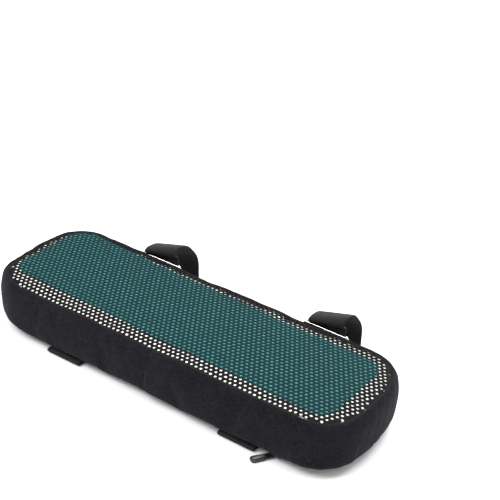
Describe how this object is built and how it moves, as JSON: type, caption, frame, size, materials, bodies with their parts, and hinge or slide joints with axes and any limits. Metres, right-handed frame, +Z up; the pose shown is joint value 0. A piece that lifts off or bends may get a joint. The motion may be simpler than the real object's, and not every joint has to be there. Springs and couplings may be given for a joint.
{
  "type": "chair armrest pad",
  "caption": "Long padded armrest cushion with a mesh top over gel and foam, a zipped cover and two elastic straps with slide buckles that go round a chair arm.",
  "frame": {"origin": "middle of the grip base, at the tips of the grip dots", "axes": "+X along the pad to its zipped end, +Y to the buckle side, +Z up out of the mesh top"},
  "size_m": [0.25, 0.1314, 0.0411],
  "materials": {
    "foam": "open-cell foam, cream",
    "gel": "soft teal gel sheet",
    "mesh": "black open spacer mesh",
    "plush": "short black velour",
    "seam": "black overlocked seam",
    "grip_fabric": "dark knit",
    "silicone": "clear silicone dots",
    "zip_tape": "woven zip tape",
    "zip_coil": "nylon coil",
    "zip_metal": "black enamel",
    "pull_grip": "moulded grip",
    "webbing": "ribbed elastic",
    "buckle_metal": "bright nickel"
  },
  "bodies": {
    "root": {"foam_core": "foam", "gel_sheet": "gel", "mesh_top_panel": "mesh", "boxing_plain_half": "plush", "boxing_zip_half": "plush", "top_seam_welt": "seam", "bottom_seam_welt": "seam", "bottom_panel": "grip_fabric", "grip_dots": "silicone", "zipper_tape_outer": "zip_tape", "zipper_tape_inner": "zip_tape", "zipper_coil_outer": "zip_coil", "zipper_coil_inner": "zip_coil", "zipper_stops": "zip_metal", "strap_under_left": "webbing", "strap_under_right": "webbing"},
    "loop_left": {"strap_loop_left": "webbing", "slide_buckle_left": "buckle_metal", "buckle_tab_left": "webbing"},
    "loop_right": {"strap_loop_right": "webbing", "slide_buckle_right": "buckle_metal", "buckle_tab_right": "webbing"},
    "slider": {"zipper_slider": "zip_metal"},
    "pull": {"zipper_pull": "zip_metal", "zipper_pull_grip": "pull_grip"}
  },
  "joints": [
    {"name": "loop_left_swing", "type": "hinge", "parent": "root", "child": "loop_left", "pos_m": [-0.0595, 0.0446, -0.00235], "axis": [1, 0, 0], "range_deg": [-100, 0]},
    {"name": "loop_right_swing", "type": "hinge", "parent": "root", "child": "loop_right", "pos_m": [0.0625, 0.0446, -0.00235], "axis": [1, 0, 0], "range_deg": [-100, 0]},
    {"name": "zip_travel", "type": "hinge", "parent": "root", "child": "slider", "pos_m": [0.08754, -0.0076, 0], "axis": [0, 0, 1], "range_deg": [0, 78]},
    {"name": "pull_swing", "type": "hinge", "parent": "slider", "child": "pull", "pos_m": [0.08588, -0.03926, -0.00185], "axis": [0.848, -0.5299, 0], "range_deg": [0, 90]}
  ]
}
